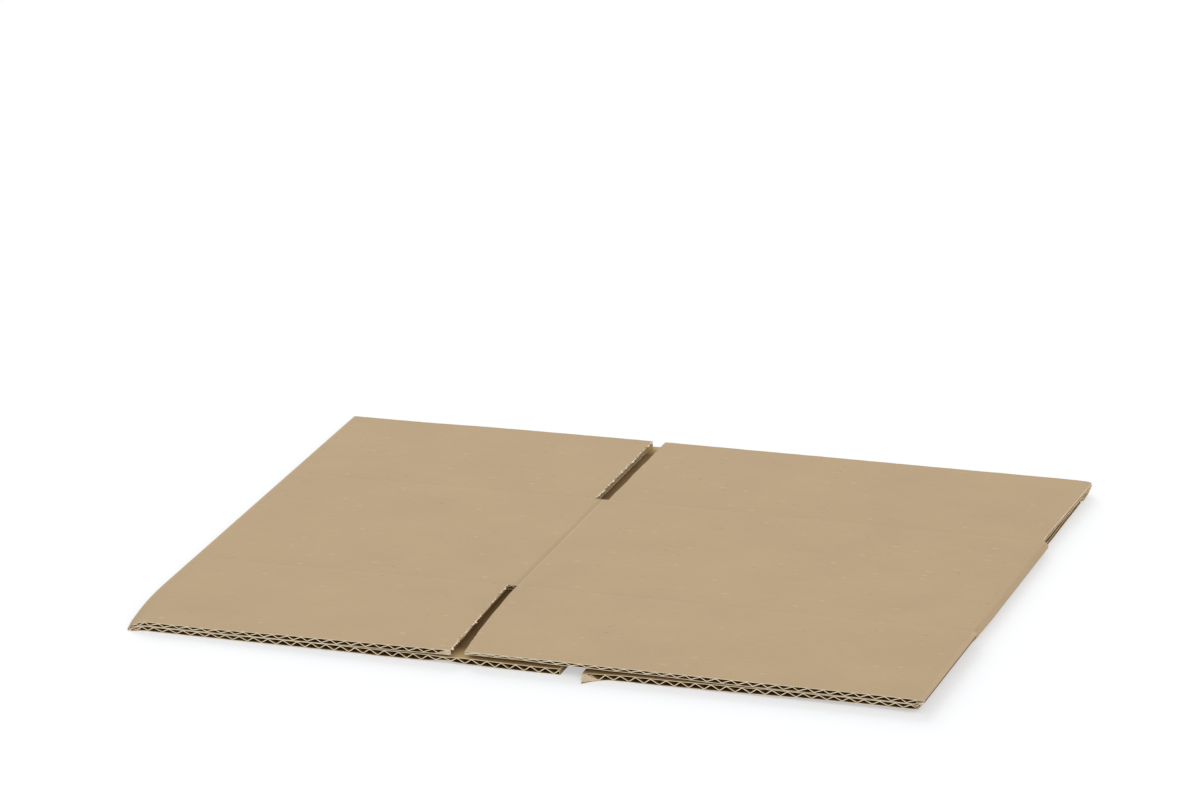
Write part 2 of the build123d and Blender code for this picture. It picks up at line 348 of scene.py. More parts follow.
class CartonSheet(bpy.types.PropertyGroup):
    """Sizes of the folded sheet and of its corrugated board."""

    short_panel: length("Short panel", "Width of the upper left panel, up to its crease", 149.0 * MM)
    long_panel: length("Long panel", "Width of the lower left panel, up to its crease", 202.0 * MM)
    flap: length("Flap", "Length of the front and back flaps", 74.0 * MM)
    board: length("Board", "Thickness of the corrugated board where it is free", 2.7 * MM)
    pressed: share("Pressed", "Share of that thickness that the upper board keeps", 0.82)
    liner: length("Liner", "Thickness of each liner", 0.24 * MM)
    medium: length("Medium", "Thickness of the fluting paper", 0.38 * MM)
    pitch: length("Flute pitch", "Length of one flute", 6.48 * MM)
    upper_crest: length("Upper crest", "First crest of the upper fluting, from the left fold", 4.1 * MM)
    lower_crest: length("Lower crest", "First crest of the lower fluting, from the left fold", 2.13 * MM)
    nose: length("Fold nose", "Radius of the folded edge", 2.0 * MM)
    bulge: length("Bulge", "Distance that the right fold stands out", 0.02 * MM)
    nose_wall: length("Nose wall", "Thickness of the crushed board round a fold", 1.0 * MM)
    crushed_fold: length("Crushed fold", "Width of crushed board beside a fold", 6.0 * MM)
    upper_slot_left: length("Upper slot, left", "Front edge: crease to the slot's left side", 0.55 * MM)
    upper_slot_right: length("Upper slot, right", "Front edge: crease to the slot's right side", 5.6 * MM)
    upper_end_left: length("Upper slot end, left", "Score: crease to the slot's left side", 3.7 * MM)
    upper_end_right: length("Upper slot end, right", "Score: crease to the slot's right side", 0.55 * MM)
    lower_slot_left: length("Lower slot, left", "Front edge: crease to the slot's left side", 6.0 * MM)
    lower_slot_right: length("Lower slot, right", "Front edge: crease to the slot's right side", 3.8 * MM)
    lower_end: length("Lower slot end", "Score: crease to either side of the slot", 4.5 * MM)
    back_slot: length("Back slots", "Crease to either side of the back slots", 3.0 * MM)
    left_slot: length("Left slot", "Distance of the lower flaps from the left fold", 6.0 * MM)
    left_corner: length("Left corner", "The same at the crushed front corner", 2.2 * MM)
    left_lip: length("Left lip", "Height at which the upper flaps' folded edge ends", 0.35 * MM)
    front_inset: length("Front inset", "Lower front flap to the right fold's tip", 0.75 * MM)
    front_overhang: length("Front overhang", "Distance that the upper front flap's end stands out", 1.85 * MM)
    front_lean: length("Front lean", "Distance that this end leans in under its top edge", 2.6 * MM)
    upper_inset: length("Upper back inset", "Upper back flap to the right fold's tip", 2.8 * MM)
    upper_corner: length("Upper back corner", "The same at that flap's corner", 1.0 * MM)
    lower_inset: length("Lower back inset", "Lower back flap to the right fold's tip", 2.1 * MM)
    lower_corner: length("Lower back corner", "The same at that flap's corner", 1.5 * MM)
    fold_taper: length("Fold taper", "Distance that the right fold draws in at the front flaps", 0.65 * MM)
    crease_width: length("Crease width", "Width of the open crease grooves", 2.4 * MM)
    crease_depth: length("Crease depth", "Depth of the open crease grooves", 0.4 * MM)
    score_depth: length("Score depth", "Depth of the flap scores", 0.05 * MM)
    step: length("Mesh step", "Spacing of the mesh along the sheet", 1.3 * MM)
    flute_steps: IntProperty(name="Flute steps", description="Mesh steps in one flute", default=12, min=6)


class CartonWear(bpy.types.PropertyGroup):
    """Crushed, curled and torn places."""

    curl_reach: length("Curl reach", "Length of the left edge that curls at the front corner", 26.0 * MM)
    curl_inset: length("Curl inset", "Distance that the curled corner is pushed in", 2.15 * MM)
    tip_inset: length("Tip inset", "Distance that its very tip is pushed in further", 0.9 * MM)
    curl_forward: length("Curl forward", "Distance that the curled corner's tip is pulled out", 2.0 * MM)
    curl_drop: share("Curl drop", "Share of its height that the curled corner loses", 0.75)
    tuck: length("Tuck", "Distance that the lower front right corner is pushed in", 1.2 * MM)
    tuck_reach: length("Tuck reach", "Length of the tucked corner", 13.0 * MM)
    notch: length("Notch", "Depth of the notch in the lower back flap's right end", 1.2 * MM)
    notch_place: length("Notch place", "Distance of the notch from the back edge", 15.5 * MM)
    corner_radius: length("Corner radius", "Round of the worn back right corner", 2.6 * MM)
    pinch: share("Pinch", "Share of its height that the back right corner's lower board loses", 0.75)
    pinch_reach: length("Pinch reach", "Length of the pinched corner", 12.0 * MM)
    thin_edge: share("Thin edge", "Share of the thickness lost beside the upper front slot", 0.42)
    thin_reach: length("Thin reach", "Length of the thinned edge", 45.0 * MM)
    crushed_end: length("Crushed end", "Width of the crushed end of the lower right flap", 9.0 * MM)
    closed_end: length("Closed end", "Width of the crushed end of the upper left flap", 8.0 * MM)
    lip_width: length("Lip width", "Width of the torn lip", 13.0 * MM)
    lip_reach: length("Lip reach", "Distance that the torn lip hangs out at the front", 6.6 * MM)
    dent: length("Dent", "Height of the dent in the lower left flap's front edge", 0.8 * MM)
    dent_place: length("Dent place", "Distance of the dent from the upper crease", 3.6 * MM)
    dent_width: length("Dent width", "Half width of the dent", 5.0 * MM)
    ragged: length("Ragged cut", "How far the cut edges wander", 0.10 * MM)
    torn: length("Torn cut", "How far the torn slot edge wanders", 0.8 * MM)
    seed: IntProperty(name="Seed", description="Seed of the wear", default=7, min=0)


class CartonFinish(bpy.types.PropertyGroup):
    """Colours of the papers."""

    kraft: colour("Kraft", "Outer liner", (0.450, 0.327, 0.187))
    # The inner colour is darker than the paper's own brown: painted shade in the slots and in the gap between
    # the layers.
    inner: colour("Inner", "Inner liner", (0.175, 0.103, 0.038))
    # Lighter inner colour near the open front and back edges: painted light, where the inner liner's painted
    # shade is lifted.
    inner_edge_lit: colour("Edge-lit inner", "Inner liner near the open front and back edges", (0.52, 0.36, 0.165))
    # The fluting colour is darker than the paper's own brown: painted shade of the deep flute cells, also on
    # the liners' far sides.
    fluting: colour("Fluting", "Corrugated medium and the hidden sides of the liners", (0.17, 0.09, 0.022))
    cut: colour("Cut edge", "Freshly cut paper edges", (0.95, 0.80, 0.57))
    torn: colour("Torn edge", "Torn and crushed paper in the slots", (0.37, 0.27, 0.16))
    scuffed: colour("Scuffed edge", "Worn paper along the edges", (0.70, 0.57, 0.40))


class CartonStage(bpy.types.PropertyGroup):
    """Camera, floor and light."""

    lens: FloatProperty(name="Lens", description="Focal length in millimetres", default=174.616)
    azimuth: angle("Azimuth", "Camera's turn", 21.0945)
    elevation: angle("Elevation", "Camera's height", 20.0488)
    roll: angle("Roll", "Camera's roll", -2.4428)
    distance: length("Distance", "Camera's distance from its target", 2673.242 * MM)
    target: FloatVectorProperty(
        name="Target", description="Point on the floor in the middle of the picture", size=2,
        default=(-76.499 * MM, 184.22 * MM), precision=5, unit="LENGTH",
    )
    key: strength("Key", "Strength of the low lamp behind on the left", 2.49)
    side: strength("Side", "Strength of the lamp on the right", 1.1)
    sky: strength("Sky", "Strength of the light all round", 0.55)
    glow: share("Glow", "Share of the floor's white that shadows leave", 0.47)
    floor: length("Floor", "Side of the floor", 12.0)


def clamp(value):
    return np.clip(value, 0.0, 1.0)


def smooth(value):
    value = clamp(value)
    return value * value * (3.0 - 2.0 * value)


def fading(distance, reach):
    """1 at no distance, falling evenly to 0 at the reach."""
    return clamp(1.0 - distance / reach)


def hump(distance, width):
    """1 at no distance, falling softly to near 0 at twice the width."""
    return np.exp(-((distance / width) ** 2))


def wander(places, scale, seed):
    """Smooth seeded noise between -1 and 1 along a line."""
    knots = np.random.default_rng(seed).uniform(-1.0, 1.0, KNOTS)
    t = np.asarray(places) / scale + KNOTS / 2
    low = np.floor(t).astype(int)
    part = t - low
    part = part * part * (3.0 - 2.0 * part)
    return knots[low % KNOTS] * (1.0 - part) + knots[(low + 1) % KNOTS] * part


def two_waves(places, wave, long_wave, seed, long_seed):
    """Short noise with part of a longer noise added, along a line."""
    return wander(places, wave, seed) + LONG_WAVE_PART * wander(places, long_wave, long_seed)


def line_through(knots):
    """A smooth line of heights over places, both given in millimetres."""
    places = np.arange(-LINE_REACH, LINE_REACH + LINE_STEP / 2, LINE_STEP)
    heights = np.pad(np.interp(places, *zip(*knots)), LINE_MARGIN, mode="edge")
    weights = np.exp(-0.5 * (np.arange(-LINE_MARGIN, LINE_MARGIN + 1) * LINE_STEP / LINE_BLUR) ** 2)
    heights = np.convolve(heights, weights / weights.sum(), mode="valid")
    return lambda x: np.interp(np.asarray(x) / MM, places, heights) * MM


class Run:
    """Stations round the folded sheet: place, height and direction of the outward normal."""

    def __init__(self, x, z, turn):
        self.x = np.asarray(x, float)
        self.z = np.asarray(z, float)
        self.turn = np.asarray(turn, float)

    def __add__(self, other):
        return Run(
            np.concatenate([self.x, other.x]),
            np.concatenate([self.z, other.z]),
            np.concatenate([self.turn, other.turn]),
        )

    def part(self, pick):
        return Run(self.x[pick], self.z[pick], self.turn[pick])

    def end(self, index, count):
        """The same station several times over."""
        return self.part(np.full(count, index))

    def top(self):
        """Which stations face up."""
        return np.sin(self.turn) > 0.0

    def flat(self):
        """Which stations lie on the flat, away from the folds."""
        return np.abs(np.sin(self.turn)) > FLAT_TURN


class Flap:
    """One flap, or the body: where it lies and how its two ends are cut."""

    def __init__(self, run, rows, zone, name, low=None, high=None):
        self.run = run
        self.rows = rows
        self.zone = zone
        self.name = name
        self.low = low
        self.high = high


class Folded:
    """The lie of the folded sheet, from the carton's sizes and wear."""

    def __init__(self, sheet, wear):
        self.sheet = sheet
        self.wear = wear
        self.upper_crease = LEFT + sheet.short_panel
        self.lower_crease = LEFT + sheet.long_panel
        self.front_score = FRONT + sheet.flap
        self.back_score = BACK - sheet.flap
        self.upper_front = line_through(UPPER_FRONT)
        self.upper_back = line_through(UPPER_BACK)
        self.lower_front = line_through(LOWER_FRONT)
        self.lower_back = line_through(LOWER_BACK)

    def seed(self, noise):
        return self.wear.seed + SEEDS[noise]

    def backward(self, y):
        """0 at the front edge, 1 at the back edge."""
        return clamp((y - FRONT) / (BACK - FRONT))

    def outward(self, y):
        """0 in the body, and up to 1 at a flap's free edge."""
        return clamp(np.maximum(self.front_score - y, y - self.back_score) / self.sheet.flap)

    def held(self, y, reach):
        """0 at a flap's score and in the body, 1 from a distance beyond the score."""
        return smooth(self.outward(y) * self.sheet.flap / reach)

    def lift(self, x, y, top):
        """Change of height from the front edge's lie."""
        upper = self.upper_back(x) - self.upper_front(x)
        lower = self.lower_back(x) - self.lower_front(x)
        return np.where(top, upper, lower) * self.backward(y)

    def upper(self, x):
        return Run(x, self.upper_front(x), np.full(len(x), UP))

    def lower(self, x):
        return Run(x, self.lower_front(x), np.full(len(x), DOWN))

    def nose_span(self, side):
        """Middle of a folded edge's curve, and the heights of the sheet's faces there."""
        x = LEFT + self.sheet.nose if side < 0 else RIGHT - self.sheet.nose + self.sheet.bulge
        return x, float(self.lower_front(x)), float(self.upper_front(x))

    def nose(self, side, start, end, count):
        """A folded edge from one direction to another, in radians."""
        turn = np.linspace(start, end, count)
        x, low, high = self.nose_span(side)
        z = (low + high) / 2 + (high - low) / 2 * np.sin(turn)
        return Run(x + self.sheet.nose * np.cos(turn), z, turn)

    def lip_turn(self):
        """Direction at which the upper left flaps' folded edge ends."""
        _, low, high = self.nose_span(-1)
        return math.pi - math.asin((self.sheet.left_lip - (low + high) / 2) / ((high - low) / 2))

    def dent_line(self, x):
        """1 in the middle of the front edge's dent, 0 away from it."""
        return hump(x - self.upper_crease + self.wear.dent_place, self.wear.dent_width)

    def free_board(self, x, y, top):
        """Thickness that the two layers leave each other."""
        room = self.upper_front(x) + self.lift(x, y, True) - self.lower_front(x) - self.lift(x, y, False)
        lower_part = LOWER_SHARE - LOWER_SHARE_LOSS * smooth((x - LOWER_LOSS_START) / LOWER_LOSS_REACH)
        free = np.where(top, self.sheet.pressed * self.sheet.board, self.sheet.board)
        return np.minimum(free, room * np.where(top, 1.0 - lower_part, lower_part) - LAYER_GAP)

    def upper_loss(self, x, front):
        """Share of its thickness that the upper board loses at the front, right of its slot."""
        beside = smooth(THIN_GAIN * fading(np.abs(x - self.upper_crease - THIN_PLACE), self.wear.thin_reach))
        beyond = BEYOND_LOSS * smooth((self.lower_crease + BEYOND_END - x) / BEYOND_FADE)
        right_side = smooth((x - self.upper_crease) / THIN_START)
        return self.wear.thin_edge * np.maximum(beside, beyond) * right_side * fading(front, THIN_DEPTH)

    def lower_loss(self, x, front):
        """Share of its thickness that the lower board loses at the front, at its crushed end and dent."""
        end = x - self.lower_crease - self.sheet.lower_slot_right
        crushed = CRUSH_LOSS * fading(np.abs(end), CRUSH_REACH) * fading(front, CRUSH_DEPTH)
        crushed = crushed * (end > CRUSH_START)
        return crushed + DENT_LOSS * self.dent_line(x) * fading(front, DENT_DEPTH)

    def thickness(self, run, x, y):
        """Thickness of the board, thinner where it is crushed."""
        top = run.top()[None, :]
        front = y - FRONT
        near = np.minimum(x - LEFT, RIGHT - x)
        thick = self.free_board(x, y, top) * (1.0 - FOLD_LOSS * fading(near, self.sheet.crushed_fold) ** 2)
        thick = thick * (1.0 - np.where(top, self.upper_loss(x, front), self.lower_loss(x, front)))
        bent = np.abs(np.cos(run.turn))[None, :]
        thick = thick * (1.0 - bent) + self.sheet.nose_wall * bent
        along = wander(x, THICKNESS_WAVE_ALONG, self.seed("thickness_along"))
        across = wander(y, THICKNESS_WAVE_ACROSS, self.seed("thickness_across"))
        sway = along * THICKNESS_SWAY_ALONG + across * THICKNESS_SWAY_ACROSS
        return thick * (1.0 + sway * (1.0 - bent))

    def grooves(self, run, x, y):
        """Depth of the open creases and the scores in the outer faces."""
        sheet = self.sheet
        flat = np.abs(np.sin(run.turn))[None, :] ** GROOVE_FLATNESS
        crease = np.where(run.top()[None, :], self.upper_crease, self.lower_crease)
        inside = smooth((y - self.front_score) / CREASE_FADE) * smooth((self.back_score - y) / CREASE_FADE)
        depth = sheet.crease_depth * clamp(1.0 - 2.0 * np.abs(x - crease) / sheet.crease_width) * inside
        for score in (self.front_score, self.back_score):
            depth = depth + sheet.score_depth * hump(y - score, SCORE_WIDTH)
        return depth * flat

    def lip(self, x, front, z, top):
        """1 at the tip of the lower right flap's torn lip, 0 away from it."""
        lip = fading(x - self.lower_crease - self.sheet.lower_slot_right, self.wear.lip_width) ** LIP_POWER
        lip = lip * (x > self.lower_crease - LIP_START) * fading(front, LIP_DEPTH) * fading(z, LIP_HEIGHT)
        return np.where(top, 0.0, lip)

    def rounded(self, x, y, end, back):
        """The worn back right corner. end, back: distances from its two edges."""
        radius = self.wear.corner_radius
        u = fading(end, radius)
        v = fading(back, radius)
        scale = np.maximum(u, v) / np.maximum(np.hypot(u, v), NEAR_ZERO)
        corner = (u > 0) & (v > 0)
        x = np.where(corner, x - u * (1.0 - scale) * radius, x)
        y = np.where(corner, y - v * (1.0 - scale) * radius, y)
        return x, y

    def warp(self, x, y, z, top):
        """Crushed and curled corners, as a bend of the space that the sheet lies in."""
        wear = self.wear
        front, back = y - FRONT, BACK - y
        left, right = x - LEFT, RIGHT - x
        end = right - self.sheet.lower_corner
        z_new = z + self.lift(x, y, top)
        dent = wear.dent * self.dent_line(x) * np.where(top, 0.0, fading(front, DENT_DEPTH) ** 2)
        z_new = z_new + dent * fading(z, DENT_HEIGHT)
        curl = fading(front, wear.curl_reach) ** 2
        push = wear.curl_inset * smooth(1.0 - front / (PUSH_GAIN * wear.curl_reach))
        push = push + wear.tip_inset * fading(front, TIP_DEPTH) ** 2
        x_new = x + push * fading(left, PUSH_WIDTH)
        z_new = z_new * (1.0 - wear.curl_drop * curl * fading(left, CURL_WIDTH) ** CURL_POWER)
        tuck = fading(front, wear.tuck_reach) * fading(right, TUCK_WIDTH) * fading(z, TUCK_HEIGHT)
        x_new = x_new - wear.tuck * tuck
        pinch = wear.pinch * fading(back, wear.pinch_reach) ** PINCH_POWER * fading(end, PINCH_WIDTH)
        pinch = np.where(z_new < PINCH_HEIGHT, pinch, PINCH_ABOVE * pinch)
        z_new = PINCH_HEIGHT + (z_new - PINCH_HEIGHT) * (1.0 - pinch)
        x_new, y_new = self.rounded(x_new, y, end, back)
        lip = self.lip(x, front, z, top)
        x_new = x_new + LIP_ASIDE * wear.lip_reach * lip
        tip = curl**2 * fading(left, TIP_WIDTH) * fading(z, TIP_HEIGHT)
        y_new = y_new - wear.lip_reach * lip - wear.curl_forward * tip
        z_new = z_new * (1.0 - LIP_DROP * lip)
        sway = wander(x, LIE_WAVE_ALONG, self.seed("lie_along"))
        sway = sway * wander(y, LIE_WAVE_ACROSS, self.seed("lie_across"))
        z_new = z_new + LIE_SWAY * sway * clamp(z / LIE_HEIGHT) * clamp(left / LIE_START)
        return x_new, y_new, np.maximum(z_new, FLOOR_GAP)

    def trimmed(self, flap, x, y, clip, recess):
        """Move a flap's ends to where they are cut, less a recess. clip: cut off what lies beyond instead."""
        hold = self.held(y, CUT_START)
        for edge, sign in ((flap.low, 1.0), (flap.high, -1.0)):
            if edge is None:
                continue
            place = edge(y) + sign * recess
            if clip:
                x = np.maximum(x, place + clip) if sign > 0 else np.minimum(x, place - clip)
                continue
            flat = flap.run.x[flap.run.flat()]
            limit = flat.min() if sign > 0 else flat.max()
            x = x + hold * (place - limit) * fading(sign * (x - limit), CUT_ROOM)
        return x

    def right_ends(self, run, bow):
        """How far the front flaps' ends at the right fold stand out from its curve."""
        sheet = self.sheet
        rise = np.sin(run.turn)[None, :]
        upper = (sheet.nose + sheet.front_overhang) * bow**END_POWER - sheet.nose * bow
        upper = upper - sheet.front_lean * (1.0 - rise) * (bow > 0)
        lower = -(sheet.front_inset + UNDERCUT * smooth(-UNDERCUT_GAIN * rise)) * bow
        return np.where(rise > END_RISE, upper, lower)

    def tear(self, flap, x, y, rows, torn, seed):
        """Let the cut ends of a flap wander, in place."""
        hold = self.held(y, WEAR_START)
        for column, part in END_COLUMNS:
            low = column >= 0
            if (flap.low if low else flap.high) is None:
                continue
            own_seed = seed + SEEDS["low_end" if low else "high_end"]
            line = two_waves(rows, TEAR_WAVE, LONG_TEAR_WAVE, own_seed, seed + SEEDS["long_tear"])
            x[:, column] += part * torn * line * hold[:, column]

    def points(
        self, flap, depth, run=None, rows=None, seed=0, outer=False,
        fray=0.0, torn=0.0, clip=0.0, recess=0.0, scatter=0.0,
    ):
        """Grid of points of a flap at a depth under its outer face."""
        run = flap.run if run is None else run
        rows = flap.rows if rows is None else rows
        x = np.repeat(run.x[None, :], len(rows), 0)
        y = np.repeat(np.asarray(rows)[:, None], len(run.x), 1)
        z = np.repeat(run.z[None, :], len(rows), 0)
        top = np.repeat(run.top()[None, :], len(rows), 0)
        bow = np.maximum(np.cos(run.turn), 0.0)[None, :]
        x = self.trimmed(flap, x, y, clip, recess)
        x = x - self.sheet.fold_taper * bow * smooth(1.0 - (y - self.front_score) / TAPER_REACH)
        if flap.zone != "body":
            x = x + self.right_ends(run, bow) * self.held(y, CUT_START)
        if torn:
            self.tear(flap, x, y, rows, torn, seed)
        if fray:
            seeds = seed + SEEDS["fray"], seed + SEEDS["long_fray"]
            free_edge = 0 if flap.zone == "front" else -1
            y[free_edge] += fray * two_waves(run.x, FRAY_WAVE, LONG_FRAY_WAVE, *seeds)
        if scatter:
            grain = np.random.default_rng(seed + SEEDS["scatter"]).uniform(-1.0, 1.0, x.shape)
            x = x + scatter * grain
        inward = depth(run, x, y)
        if outer:
            inward = inward + self.grooves(run, x, y)
        x = x - np.cos(run.turn)[None, :] * inward
        z = z - np.sin(run.turn)[None, :] * inward
        return np.stack(self.warp(x, y, z, top), axis=-1)


def spread(marks, step):
    """Places from the first mark to the last, through every mark, at most a step apart."""
    places = [marks[0]]
    for a, b in zip(marks, marks[1:]):
        count = max(1, math.ceil((b - a) / step - ROUNDING))
        places.extend(a + (b - a) * (k + 1) / count for k in range(count))
    return np.array(places)


def from_edge(zone, distances):
    """Places along Y at distances from the front or back edge, from front to back."""
    return FRONT + distances if zone == "front" else (BACK - distances)[::-1]


def flap_rows(sheet, zone):
    """Places along a flap, close together at its free edge and at its score."""
    score = sheet.flap - np.array(SCORE_ROWS) * MM
    return from_edge(zone, np.concatenate([np.array(EDGE_ROWS + MIDDLE_ROWS) * MM, score]))


def body_rows(folded):
    """Places along the body, close together at its scores."""
    near = np.array(BODY_ROWS) * MM
    return np.concatenate([folded.front_score + near, [0.0], (folded.back_score - near)[::-1]])


def layout(folded):
    """The body and the eight flaps."""
    sheet = folded.sheet
    up, low = folded.upper_crease, folded.lower_crease
    first, last = LEFT + sheet.nose, RIGHT - sheet.nose + sheet.bulge
    groove = sheet.crease_width / 2
    slot = up - sheet.upper_end_left
    upper_marks = [first, *(slot - margin for margin in SLOT_MARGINS), slot]
    upper_marks += [up - sheet.back_slot, up - groove, up]
    upper_marks += [up + sheet.upper_end_right, up + groove, up + sheet.back_slot, last]
    lower_marks = [first, LEFT + sheet.left_slot, low - sheet.lower_end]
    lower_marks += [low - sheet.back_slot, low - groove, low]
    lower_marks += [low + groove, low + sheet.back_slot, low + sheet.lower_end, last]
    upper = spread(upper_marks, sheet.step)
    lower = spread(lower_marks, sheet.step)
    lip = folded.lip_turn()
    under_lip = folded.nose(-1, math.pi - DOWN, lip, LIP_UNDER_STEPS)
    over_lip = folded.nose(-1, lip, UP, LIP_OVER_STEPS)
    over_slit = folded.nose(1, UP, SLIT_START, ABOVE_SLIT_STEPS)
    in_slit = folded.nose(1, SLIT_START, SLIT_END, SLIT_STEPS)
    below_slit = folded.nose(1, SLIT_END, DOWN, BELOW_SLIT_STEPS)
    rest = slice(1, None)
    body = under_lip.part(slice(0, -1)) + over_lip + folded.upper(upper[1:]) + over_slit.part(rest)
    body = body + in_slit.part(rest) + below_slit.part(rest) + folded.lower(lower[::-1][1:])
    flaps = [Flap(body, body_rows(folded), "body", "body")]

    def line(edge, end, power=1.0):
        """A slot's side that leans from the free edge to the score."""
        def place(y):
            return end + (edge - end) * folded.outward(y) ** power
        return place

    def notched(y):
        """The lower back flap's right end, which steps out beside a notch."""
        beyond = y - BACK + folded.wear.notch_place
        step = (sheet.lower_inset - sheet.lower_corner) * smooth(beyond / NOTCH_STEP + 0.5)
        return RIGHT - sheet.lower_inset + step - folded.wear.notch * hump(beyond, NOTCH_WIDTH)

    for zone in ("front", "back"):
        rows = flap_rows(sheet, zone)
        if zone == "front":
            ends = [slot, up + sheet.upper_end_right, low - sheet.lower_end, low + sheet.lower_end]
            sides = [
                line(up - sheet.upper_slot_left, ends[0]),
                line(up + sheet.upper_slot_right, ends[1], SLOT_POWER),
                line(low - sheet.lower_slot_left, ends[2]),
                line(low + sheet.lower_slot_right, ends[3]),
            ]
        else:
            ends = [up - sheet.back_slot, up + sheet.back_slot, low - sheet.back_slot, low + sheet.back_slot]
            sides = [line(end, end) for end in ends]
        beside_left = lower > LEFT + sheet.left_slot - SAME_PLACE
        upper_left = folded.upper(upper[(upper > first + SAME_PLACE) & (upper < ends[0] + SAME_PLACE)])
        upper_right = folded.upper(upper[upper > ends[1] - SAME_PLACE])
        lower_right = folded.lower(lower[lower > ends[3] - SAME_PLACE][::-1])
        lower_left = folded.lower(lower[beside_left & (lower < ends[2] + SAME_PLACE)][::-1])
        upper_end = lower_end = None
        if zone == "front":
            upper_right = upper_right + over_slit.part(rest)
            lower_right = below_slit.part(slice(0, -1)) + lower_right
        else:
            upper_end = line(RIGHT - sheet.upper_corner, RIGHT - sheet.upper_inset, CORNER_POWER)
            lower_end = notched
        left_edge = sheet.left_corner if zone == "front" else sheet.left_slot
        left_end = line(LEFT + left_edge, LEFT + sheet.left_slot)
        flaps.append(Flap(over_lip + upper_left, rows, zone, "upper_left", None, sides[0]))
        flaps.append(Flap(upper_right, rows, zone, "upper_right", sides[1], upper_end))
        flaps.append(Flap(lower_right, rows, zone, "lower_right", sides[3], lower_end))
        flaps.append(Flap(lower_left, rows, zone, "lower_left", left_end, sides[2]))
    return flaps


class Shell:
    """Collects grids of points into one mesh."""

    def __init__(self):
        self.points = []
        self.faces = []
        self.finish = []
        self.count = 0

    def add(self, grid, flip=False, finish=0):
        """Add a grid. finish: number of its faces' finish, or numbers for their columns or rows."""
        rows, columns = grid.shape[:2]
        index = np.arange(rows * columns).reshape(rows, columns) + self.count
        corners = [index[:-1, :-1], index[:-1, 1:], index[1:, 1:], index[1:, :-1]]
        if flip:
            corners = corners[::-1]
        faces = np.stack(corners, axis=-1).reshape(-1, 4)
        self.points.append(grid.reshape(-1, 3))
        self.faces.append(faces)
        self.finish.append(np.broadcast_to(finish, (rows - 1, columns - 1)).reshape(-1))
        self.count += rows * columns

    def piece(self, name, thickness, offset, finishes, hidden=0):
        """Join the grids, thicken them, and make the piece. hidden: steps to the finish of the far sides."""
        mesh = bpy.data.meshes.new(name)
        mesh.from_pydata(np.concatenate(self.points).tolist(), [], np.concatenate(self.faces).tolist())
        mesh.polygons.foreach_set("material_index", np.concatenate(self.finish))
        for finish in finishes:
            mesh.materials.append(finish_of(finish))
        piece = bpy.data.objects.new(name, mesh)
        bpy.context.scene.collection.objects.link(piece)
        weld = piece.modifiers.new("Weld", "WELD")
        weld.merge_threshold = WELD_REACH
        solid = piece.modifiers.new("Thickness", "SOLIDIFY")
        solid.thickness = thickness
        solid.offset = offset
        solid.material_offset_rim = 1
        solid.material_offset = hidden
        graph = bpy.context.evaluated_depsgraph_get()
        made = bpy.data.meshes.new_from_object(piece.evaluated_get(graph))
        piece.modifiers.clear()
        piece.data = made
        bpy.data.meshes.remove(mesh)
        made.name = name
        made.shade_smooth()
        made.set_sharp_from_angle(angle=SHARP_EDGE)
        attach(piece, "root")
        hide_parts(NODE)
        return piece


